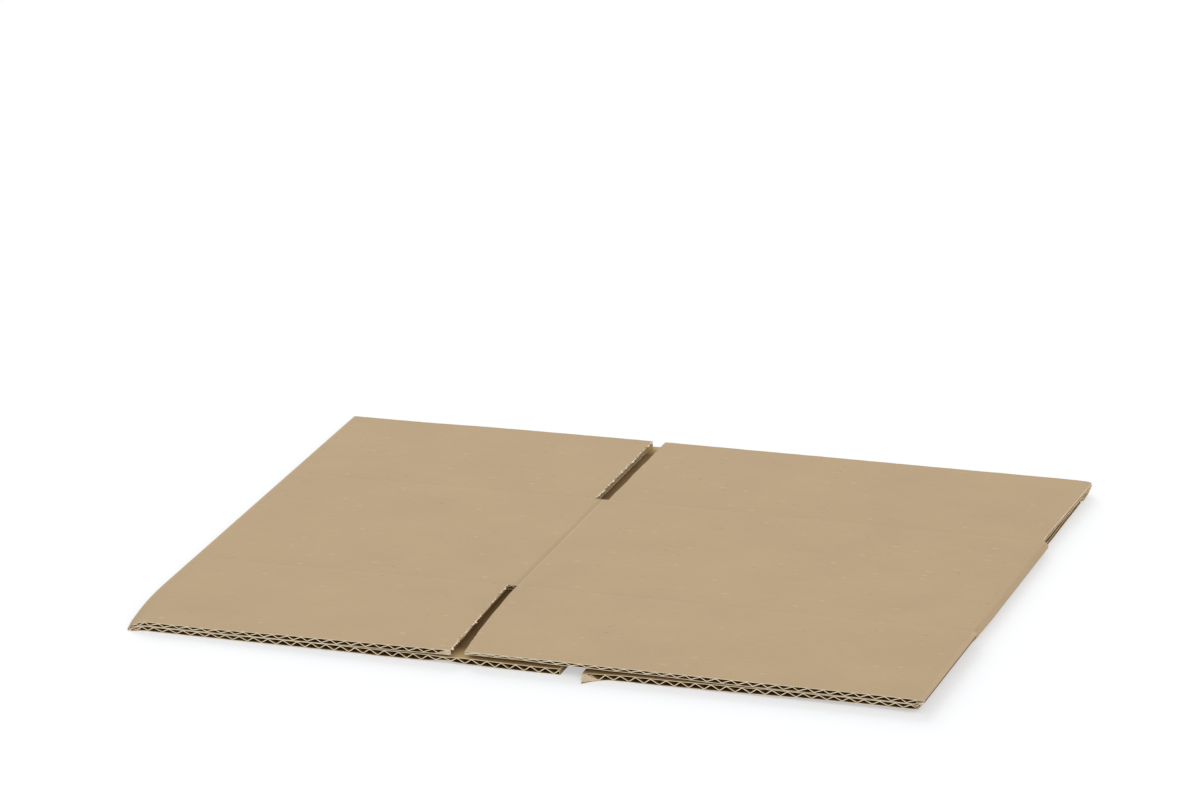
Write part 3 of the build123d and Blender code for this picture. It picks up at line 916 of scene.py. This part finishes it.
class Paper:
    """Nodes of one paper's material."""

    def __init__(self, name):
        self.material = bpy.data.materials.new(name)
        self.material.use_nodes = True
        self.nodes = self.material.node_tree.nodes
        self.links = self.material.node_tree.links
        self.place = self.nodes.new("ShaderNodeTexCoord").outputs["Object"]

    def scaled_place(self, scale):
        mapping = self.nodes.new("ShaderNodeMapping")
        mapping.inputs["Scale"].default_value = scale
        self.links.new(self.place, mapping.inputs["Vector"])
        return mapping.outputs["Vector"]

    def ramp(self, value, **limits):
        """A value carried from one range to another."""
        node = self.nodes.new("ShaderNodeMapRange")
        for name, limit in limits.items():
            node.inputs[name.replace("_", " ").title()].default_value = limit
        self.links.new(value, node.inputs["Value"])
        return node.outputs["Result"]

    def math_step(self, operation, a, b=None):
        """One operation on a socket, and on a second socket or number where it takes one."""
        node = self.nodes.new("ShaderNodeMath")
        node.operation = operation
        self.links.new(a, node.inputs[0])
        if isinstance(b, bpy.types.NodeSocket):
            self.links.new(b, node.inputs[1])
        elif b is not None:
            node.inputs[1].default_value = b
        return node.outputs["Value"]

    def multiply(self, a, b):
        return self.math_step("MULTIPLY", a, b)

    def noise_tone(self, scale, detail, swing):
        """Noise, and the same noise as a share that swings about 1, for multiplying."""
        noise = self.nodes.new("ShaderNodeTexNoise")
        noise.inputs["Scale"].default_value = 1.0
        noise.inputs["Detail"].default_value = detail
        noise.inputs["Roughness"].default_value = NOISE_ROUGHNESS
        self.links.new(self.scaled_place(scale), noise.inputs["Vector"])
        fac = noise.outputs["Fac"]
        return fac, self.ramp(
            fac, from_min=NOISE_LOW, from_max=NOISE_HIGH, to_min=1.0 - swing, to_max=1.0 + swing
        )

    def fleck_mask(self, scale, size, rarity):
        """Sparse specks: near the middle of a few cells."""
        cells = self.nodes.new("ShaderNodeTexVoronoi")
        cells.inputs["Scale"].default_value = 1.0
        cells.inputs["Randomness"].default_value = 1.0
        self.links.new(self.scaled_place(scale), cells.inputs["Vector"])
        near = self.ramp(cells.outputs["Distance"], from_min=size, from_max=size * FLECK_CORE)
        parts = self.nodes.new("ShaderNodeSeparateColor")
        self.links.new(cells.outputs["Color"], parts.inputs["Color"])
        return self.multiply(near, self.math_step("GREATER_THAN", parts.outputs["Red"], rarity))

    def blend(self, factor, base, over):
        """Mix a colour socket with a plain colour."""
        mix = self.nodes.new("ShaderNodeMix")
        mix.data_type = "RGBA"
        self.links.new(factor, mix.inputs[MIX_FACTOR])
        self.links.new(base, mix.inputs[MIX_BASE])
        mix.inputs[MIX_OVER].default_value = (*over, 1.0)
        return mix.outputs[MIX_RESULT]

    def edge_band(self, axis, start, end):
        """0 in the middle of the sheet, 1 beyond a distance from it along an axis."""
        parts = self.nodes.new("ShaderNodeSeparateXYZ")
        self.links.new(self.place, parts.inputs["Vector"])
        return self.ramp(self.math_step("ABSOLUTE", parts.outputs[axis]), from_min=start, from_max=end)

    def tinted(self, base, tone):
        """A plain colour times a tone."""
        scaled = self.nodes.new("ShaderNodeVectorMath")
        scaled.operation = "SCALE"
        scaled.inputs[0].default_value = base
        self.links.new(tone, scaled.inputs["Scale"])
        return scaled.outputs["Vector"]

    def bump(self, height, grain):
        node = self.nodes.new("ShaderNodeBump")
        node.inputs["Strength"].default_value = grain
        node.inputs["Distance"].default_value = BUMP_HEIGHT
        self.links.new(height, node.inputs["Height"])
        return node.outputs["Normal"]


def paper(name, base, streak, mottle, flecks, grain, edge=None):
    """Uncoated paper: mottled, streaked along X, with specks and a fine grain. edge: a band along an edge:
    rubbed paper and painted light on the outer liner's folds, painted light on the inner liner near its open
    edges.
    """
    made = Paper(name)
    shader = made.nodes["Principled BSDF"]
    shader.inputs["Specular IOR Level"].default_value = SPECULAR
    _, cloud = made.noise_tone(swing=mottle, **CLOUD)
    fibre_noise, fibres = made.noise_tone(swing=streak, **FIBRES)
    grain_noise, speckle = made.noise_tone(swing=streak, **GRAIN)
    tone = made.multiply(made.multiply(cloud, fibres), speckle)
    result = made.tinted(base, tone)
    if edge:
        # The band's colour is rubbed paper and painted light on the outer liner, and painted light on the
        # inner liner.
        axis, start, end, worn, amount = edge
        mask = made.multiply(made.edge_band(axis, start, end), tone)
        result = made.blend(made.multiply(mask, amount), result, worn)
    if flecks:
        pale_colour = tuple(min(1.0, c * PALE_GAIN + PALE_LIFT) for c in base)
        dark_colour = tuple(c * DARK_GAIN for c in base)
        for kind, tint in ((PALE_FLECKS, pale_colour), (DARK_FLECKS, dark_colour)):
            result = made.blend(made.multiply(made.fleck_mask(**kind), flecks), result, tint)
    roughness = made.ramp(fibre_noise, to_min=SMOOTHEST, to_max=ROUGHEST)
    height = made.math_step("ADD", fibre_noise, grain_noise)
    made.links.new(result, shader.inputs["Base Color"])
    made.links.new(roughness, shader.inputs["Roughness"])
    made.links.new(made.bump(height, grain), shader.inputs["Normal"])
    return made.material


def finish_of(name):
    """A paper finish by name, made when it is first asked for."""
    if name in bpy.data.materials:
        return bpy.data.materials[name]
    tints = bpy.context.scene.carton_finish
    look = dict(PAPERS[name])
    base = tuple(getattr(tints, look.pop("tint")))
    edge = LIT_AND_RUBBED_EDGES.get(name)
    if edge:
        # The edge band's colour is rubbed paper and painted light on the outer liner, and painted light on
        # the inner liner.
        axis, start, end, worn, amount = edge
        edge = axis, start, end, tuple(getattr(tints, worn)), amount
    return paper(name, base, edge=edge, **look)


def current_fold(context):
    return Folded(context.scene.carton_sheet, context.scene.carton_wear)


class CARTON_OT_outer_liner(bpy.types.Operator):
    """Make the outer liner, which runs round both folds"""

    bl_idname = "carton.outer_liner"
    bl_label = "Outer liner"

    def execute(self, context):
        folded = current_fold(context)
        wear = folded.wear
        shell = Shell()

        def flush(run, x, y):
            return np.zeros_like(x)

        for number, flap in enumerate(layout(folded)):
            seed = wear.seed + SEED_STEP * number
            fray = 0.0 if flap.zone == "body" else wear.ragged
            shell.add(folded.points(flap, flush, fray=fray, torn=OUTER_TEAR * fray, seed=seed, outer=True))
        finishes = "outer_kraft", "cut_paper", "fluting_paper"
        shell.piece("outer_liner", folded.sheet.liner, -1.0, finishes, hidden=2)
        return {"FINISHED"}


class CARTON_OT_inner_liner(bpy.types.Operator):
    """Make the inner liner, which faces the space between the layers"""

    bl_idname = "carton.inner_liner"
    bl_label = "Inner liner"

    def execute(self, context):
        folded = current_fold(context)
        wear = folded.wear
        shell = Shell()
        for number, flap in enumerate(layout(folded)):
            seed = folded.seed("inner_liner") + SEED_STEP * number
            fray = 0.0 if flap.zone == "body" else wear.ragged
            recess = INNER_RECESS if flap.zone == "front" and flap.name == "upper_left" else 0.0
            grid = folded.points(flap, folded.thickness, fray=fray, torn=fray, seed=seed, recess=recess)
            shell.add(grid, flip=True)
        # The inner liner's finish carries painted shade, lifted towards the open front and back edges.
        finishes = "inner_kraft", "cut_paper", "fluting_paper"
        shell.piece("inner_liner", folded.sheet.liner, -1.0, finishes, hidden=2)
        return {"FINISHED"}


class CARTON_OT_fluting(bpy.types.Operator):
    """Make the corrugated medium between the liners"""

    bl_idname = "carton.fluting"
    bl_label = "Fluting"

    def execute(self, context):
        folded = current_fold(context)
        sheet = folded.sheet
        shell = Shell()

        def wave(run, x, y):
            top = run.top()[None, :]
            crest = np.where(top, sheet.upper_crest, sheet.lower_crest)
            lean = np.where(top, UPPER_LEAN, LOWER_LEAN)
            turn = 2.0 * math.pi * (x - LEFT - crest) / sheet.pitch
            sway = FLUTE_SWAY * wander(x, FLUTE_WAVE, folded.seed("flutes"))
            turn = turn + sway + lean * (np.cos(turn) - 1.0)
            height = np.arcsin(FLUTE_POINT * np.cos(turn)) / math.asin(FLUTE_POINT)
            part = np.where(top, 0.5 - 0.5 * height, 0.5 + 0.5 * height)
            room = folded.thickness(run, x, y) - 2.0 * sheet.liner - sheet.medium
            return sheet.liner + sheet.medium / 2 + np.maximum(room, 0.0) * part

        step = sheet.pitch / sheet.flute_steps
        places = LEFT + sheet.nose + step * np.arange(int((RIGHT - LEFT - 2 * sheet.nose) / step))
        near = np.concatenate([np.array(FLUTE_ROWS) * MM, [sheet.flap]])
        front, back = folded.front_score, folded.back_score
        middle = np.array([front, front + FLUTE_SCORE_ROW, 0.0, back - FLUTE_SCORE_ROW, back])
        for number, flap in enumerate(layout(folded)):
            if flap.zone == "body":
                for run in (folded.upper(places), folded.lower(places[::-1])):
                    shell.add(folded.points(flap, wave, run=run, rows=middle))
                continue
            rows = from_edge(flap.zone, near)
            inside = np.ones(len(places), bool)
            if flap.low is not None:
                inside &= places > flap.low(rows).min()
            if flap.high is not None:
                inside &= places < flap.high(rows).max()
            kept = places[inside]
            run = folded.upper(kept) if flap.name.startswith("upper") else folded.lower(kept[::-1])
            seed = folded.seed("fluting") + SEED_STEP * number
            grid = folded.points(flap, wave, run=run, rows=rows, fray=FLUTE_FRAY, seed=seed, clip=FLUTE_CLIP)
            shell.add(grid)
        shell.piece("fluting", sheet.medium, 0.0, ("fluting_paper", "cut_paper"))
        return {"FINISHED"}


class CARTON_OT_torn_edges(bpy.types.Operator):
    """Make the crushed and torn board that closes the slots, the folds' ends and the worn corners"""

    bl_idname = "carton.torn_edges"
    bl_label = "Torn edges"

    def execute(self, context):
        folded = current_fold(context)
        shell = Shell()
        flaps = layout(folded)
        fine = np.linspace(WALL_START, folded.sheet.flap, WALL_STEPS)
        for number, flap in enumerate(flaps[1:]):
            rows = from_edge(flap.zone, fine)
            self.slot_walls(folded, shell, flap, rows, folded.seed("slot_walls") + number)
            self.fold_cap(folded, shell, flap)
            if flap.name == "upper_left":
                self.close_fold(folded, shell, flap)
                self.torn_strip(folded, shell, flap, rows, folded.seed("torn_strips") + number)
        self.body_caps(folded, shell, flaps[0])
        for top in (True, False):
            self.crushed_cap(folded, shell, top)
        shell.piece("torn_edges", TORN_PAPER, 0.0, ("torn_paper", "scuffed_paper", "fluting_paper"))
        return {"FINISHED"}

    def slot_walls(self, folded, shell, flap, rows, seed):
        """Close the board at the cut ends of a flap."""
        def through(run, x, y):
            return ACROSS[None, :] * folded.thickness(run, x, y)

        flat = np.flatnonzero(flap.run.flat())
        order = np.argsort(flap.run.x[flat])
        ends = (flap.low, flat[order[0]], WALL_INSET), (flap.high, flat[order[-1]], -WALL_INSET)
        for edge, index, inset in ends:
            if edge is None:
                continue
            run = flap.run.end(index, len(ACROSS))
            run.x = run.x + inset
            grid = folded.points(flap, through, run=run, rows=rows, seed=seed, scatter=WALL_SCATTER)
            shell.add(grid, finish=self.wall_finish(folded, flap, rows, edge is flap.high))

    def wall_finish(self, folded, flap, rows, high):
        """Finish of a cut end: the dark fluting colour as painted shade in the upper front slot and on the
        lower back flap's right end short of the notch, and worn at the back right corner.
        """
        if flap.zone == "front" and flap.name == "upper_left":
            return PAINTED_SHADE
        if flap.zone == "back" and flap.name == "upper_right" and high:
            return WORN_TOP
        if flap.zone == "back" and flap.name == "lower_right" and high:
            return np.where(rows[1:, None] > BACK - folded.wear.notch_place, TORN, PAINTED_SHADE)
        return TORN

    def upright_cap(self, folded, shell, flap, pick, place, finish=TORN):
        """Close the picked stations of a flap or the body with a wall across the flutes."""
        def upright(run, x, y):
            return ACROSS[:, None] * folded.thickness(run, x, y)

        run = flap.run.part(np.flatnonzero(pick))
        rows = np.full(len(ACROSS), place)
        shell.add(folded.points(flap, upright, run=run, rows=rows), finish=finish)

    def fold_cap(self, folded, shell, flap):
        """Close the end of a fold at a flap's free edge."""
        run = flap.run
        if not np.any(np.abs(np.cos(run.turn)) > BENT_TURN):
            return
        pick = (run.x < LEFT + FOLD_CAP_LEFT) | (run.x > RIGHT - folded.sheet.nose - FOLD_CAP_RIGHT)
        place = FRONT + FOLD_CAP_INSET if flap.zone == "front" else BACK - FOLD_CAP_INSET
        self.upright_cap(folded, shell, flap, pick, place)

    def body_caps(self, folded, shell, body):
        """Close the body at the scores, at the right fold and at the inner ends of the slots."""
        run = body.run
        creases = (folded.upper_crease, True, UPPER_CAP), (folded.lower_crease, False, LOWER_CAP)
        for place in (folded.front_score + CAP_INSET, folded.back_score - CAP_INSET):
            self.upright_cap(folded, shell, body, np.cos(run.turn) > BENT_TURN, place)
            for crease, top, reach in creases:
                pick = (np.abs(run.x - crease) < reach) & (run.top() == top) & run.flat()
                # The caps at the slots' inner ends take the dark fluting colour as painted shade.
                self.upright_cap(folded, shell, body, pick, place, PAINTED_SHADE)

    def crushed_cap(self, folded, shell, top):
        """Close the front edge beside a slot: of the upper left flap, or of the lower right one."""
        sheet, wear = folded.sheet, folded.wear
        if top:
            edge = folded.upper_crease - sheet.upper_slot_left
            width = wear.closed_end
            run = folded.upper(np.linspace(edge - width, edge + CAP_INSET, CAP_STEPS))
        else:
            edge = folded.lower_crease + sheet.lower_slot_right
            width = wear.crushed_end
            run = folded.lower(np.linspace(edge + width, edge - CAP_INSET, CAP_STEPS))
        loose = Flap(run, None, "front", "crushed_end")

        def tapering(run, x, y):
            cover = 1.0 - CAP_LOSS * smooth((np.abs(x - edge) - CAP_FULL * width) / (CAP_FADE * width))
            covered = ACROSS[:, None] * cover
            return (1.0 - covered if top else covered) * folded.thickness(run, x, y)

        rows = np.full(len(ACROSS), FRONT + CAP_INSET)
        grid = folded.points(loose, tapering, rows=rows, seed=folded.seed("crushed_caps"))
        shell.add(grid, finish=SCUFFED)

    def close_fold(self, folded, shell, flap):
        """Fill the crushed end of the left fold, from the bent board to a point beside the lower flap."""
        run = flap.run.part(np.flatnonzero(flap.run.x < LEFT + FILL_REACH))
        steps = np.linspace(0.0, 1.0, FILL_STEPS)
        x = np.repeat(run.x[None, :], len(steps), 0)
        z = np.repeat(run.z[None, :], len(steps), 0)
        inward = folded.thickness(run, x, np.full_like(x, FRONT)) + FILL_INSET
        x = x - np.cos(run.turn)[None, :] * inward
        z = z - np.sin(run.turn)[None, :] * inward
        part = steps[:, None]
        x = x * (1.0 - part) + (LEFT + FILL_REACH) * part
        z = z * (1.0 - part) + FILL_HEIGHT * part
        grain = np.random.default_rng(folded.seed("fold_ends")).uniform(0.0, 1.0, x.shape)
        depth = (FILL_DEPTH_MM + FILL_GRAIN_MM * grain) * MM
        y = FRONT + depth if flap.zone == "front" else BACK - depth
        shell.add(np.stack(folded.warp(x, y, z, np.ones_like(x, bool)), axis=-1))

    def torn_strip(self, folded, shell, flap, rows, seed):
        """A pale ragged strip of the liner, curled up along the slot."""
        wear = folded.wear
        run = flap.run.end(-1, len(STRIP_STEPS_MM))
        run.x = run.x + np.array(STRIP_STEPS_MM) * MM

        def lifted(run, x, y):
            return np.repeat(np.array([STRIP_DEPTHS_MM]) * MM, len(rows), 0)

        grid = folded.points(flap, lifted, run=run, rows=rows)
        ragged = sum(part * wander(rows, wave, seed + k) for k, (part, wave) in enumerate(STRIP_WAVES))
        hold = folded.held(rows, WEAR_START)
        grid[:, :, 0] += (wear.torn * ragged * hold)[:, None] * np.array([STRIP_LOOSE])
        curl = wander(rows, STRIP_LIFT_WAVE, seed + len(STRIP_WAVES))
        grid[:, -1, 2] += STRIP_LIFT * wear.torn * curl * hold
        shell.add(grid, finish=SCUFFED)


class CARTON_OT_stage(bpy.types.Operator):
    """Set up the floor, the light and the camera"""

    bl_idname = "carton.stage"
    bl_label = "Stage"

    def execute(self, context):
        scene = context.scene
        stage = scene.carton_stage
        scene.view_settings.view_transform = "Standard"
        self.make_camera(scene, stage)
        self.make_floor(scene, stage)
        self.make_lamp(scene, "key_lamp", stage.key, **KEY_LAMP)
        self.make_lamp(scene, "side_lamp", stage.side, **SIDE_LAMP)
        self.make_sky(scene, stage)
        return {"FINISHED"}

    def make_camera(self, scene, stage):
        az, el, roll = stage.azimuth, stage.elevation, stage.roll
        back = Vector((math.sin(az) * math.cos(el), -math.cos(az) * math.cos(el), math.sin(el)))
        ahead = -back
        right = ahead.cross(Vector((0.0, 0.0, 1.0))).normalized()
        down = ahead.cross(right)
        turned = math.cos(roll) * right - math.sin(roll) * down
        lower = math.sin(roll) * right + math.cos(roll) * down
        axes = Matrix((turned, -lower, back)).transposed()
        camera = bpy.data.cameras.new("photo_camera")
        camera.sensor_fit = "HORIZONTAL"
        camera.sensor_width = SENSOR_WIDTH
        camera.lens = stage.lens
        eye = bpy.data.objects.new("photo_camera", camera)
        target = Vector((stage.target[0], stage.target[1], 0.0))
        eye.matrix_world = Matrix.Translation(target + back * stage.distance) @ axes.to_4x4()
        scene.collection.objects.link(eye)
        scene.camera = eye

    def seen_directly(self, nodes, links):
        """1 for what the camera sees, straight or in a reflection or through glass."""
        path = nodes.new("ShaderNodeLightPath")
        total = path.outputs["Is Camera Ray"]
        for name in ("Is Glossy Ray", "Is Transmission Ray"):
            add = nodes.new("ShaderNodeMath")
            add.operation = "ADD"
            add.use_clamp = True
            links.new(total, add.inputs[0])
            links.new(path.outputs[name], add.inputs[1])
            total = add.outputs["Value"]
        return total

    def make_floor(self, scene, stage):
        half = stage.floor / 2
        corners = [(-half, -half, 0), (half, -half, 0), (half, half, 0), (-half, half, 0)]
        mesh = bpy.data.meshes.new("floor")
        mesh.from_pydata(corners, [], [(0, 1, 2, 3)])
        floor = bpy.data.objects.new("floor", mesh)
        floor.location.z = -FLOOR_DROP
        scene.collection.objects.link(floor)
        material = bpy.data.materials.new("white_floor")
        material.use_nodes = True
        nodes, links = material.node_tree.nodes, material.node_tree.links
        nodes.clear()
        matt = nodes.new("ShaderNodeBsdfDiffuse")
        matt.inputs["Color"].default_value = (FLOOR_GREY, FLOOR_GREY, FLOOR_GREY, 1.0)
        shaded = nodes.new("ShaderNodeBsdfDiffuse")
        part = FLOOR_WHITE - stage.glow
        shaded.inputs["Color"].default_value = (*(tint * part for tint in FLOOR_TINT), 1.0)
        glow = nodes.new("ShaderNodeEmission")
        glow.inputs["Strength"].default_value = stage.glow
        white = nodes.new("ShaderNodeAddShader")
        links.new(shaded.outputs["BSDF"], white.inputs[0])
        links.new(glow.outputs["Emission"], white.inputs[1])
        pick = nodes.new("ShaderNodeMixShader")
        links.new(self.seen_directly(nodes, links), pick.inputs["Fac"])
        links.new(matt.outputs["BSDF"], pick.inputs[1])
        links.new(white.outputs["Shader"], pick.inputs[2])
        out = nodes.new("ShaderNodeOutputMaterial")
        links.new(pick.outputs["Shader"], out.inputs["Surface"])
        mesh.materials.append(material)

    def make_lamp(self, scene, name, energy, breadth, heading, height):
        """A broad distant lamp that shines along a heading, from a height in degrees."""
        lamp = bpy.data.lights.new(name, "SUN")
        lamp.energy = energy
        lamp.angle = math.radians(breadth)
        sun = bpy.data.objects.new(name, lamp)
        flat = Vector((*heading, 0.0)).normalized() * math.cos(math.radians(height))
        towards = Vector((flat.x, flat.y, -math.sin(math.radians(height))))
        sun.rotation_euler = towards.to_track_quat("-Z", "Y").to_euler()
        scene.collection.objects.link(sun)

    def make_sky(self, scene, stage):
        world = bpy.data.worlds.new("white_room")
        world.use_nodes = True
        nodes, links = world.node_tree.nodes, world.node_tree.links
        nodes.clear()
        even = nodes.new("ShaderNodeBackground")
        even.inputs["Strength"].default_value = stage.sky
        white = nodes.new("ShaderNodeBackground")
        white.inputs["Strength"].default_value = 1.0
        for node in (even, white):
            node.inputs["Color"].default_value = (1.0, 1.0, 1.0, 1.0)
        pick = nodes.new("ShaderNodeMixShader")
        out = nodes.new("ShaderNodeOutputWorld")
        links.new(self.seen_directly(nodes, links), pick.inputs["Fac"])
        links.new(even.outputs["Background"], pick.inputs[1])
        links.new(white.outputs["Background"], pick.inputs[2])
        links.new(pick.outputs["Shader"], out.inputs["Surface"])
        scene.world = world


STEPS = ("outer_liner", "inner_liner", "fluting", "torn_edges", "stage")


class CARTON_PT_sidebar(bpy.types.Panel):
    """Lists the carton's sizes and the steps that make it"""

    bl_idname = "CARTON_PT_sidebar"
    bl_label = "Flattened carton"
    bl_space_type = "VIEW_3D"
    bl_region_type = "UI"
    bl_category = "Carton"

    def draw(self, context):
        for name in STEPS:
            self.layout.operator("carton." + name)
        for group_name in GROUPS:
            group = getattr(context.scene, group_name)
            box = self.layout.box()
            for name in group.__annotations__:
                box.prop(group, name)


GROUPS = {
    "carton_sheet": CartonSheet,
    "carton_wear": CartonWear,
    "carton_finish": CartonFinish,
    "carton_stage": CartonStage,
}
CLASSES = (
    *GROUPS.values(),
    CARTON_OT_outer_liner,
    CARTON_OT_inner_liner,
    CARTON_OT_fluting,
    CARTON_OT_torn_edges,
    CARTON_OT_stage,
    CARTON_PT_sidebar,
)


def register():
    for item in CLASSES:
        bpy.utils.register_class(item)
    for name, group in GROUPS.items():
        setattr(bpy.types.Scene, name, PointerProperty(type=group))


def unregister():
    for name in GROUPS:
        delattr(bpy.types.Scene, name)
    for item in reversed(CLASSES):
        bpy.utils.unregister_class(item)


def main():
    register()
    for name in STEPS:
        getattr(bpy.ops.carton, name)()


if __name__ == "__main__":
    main()
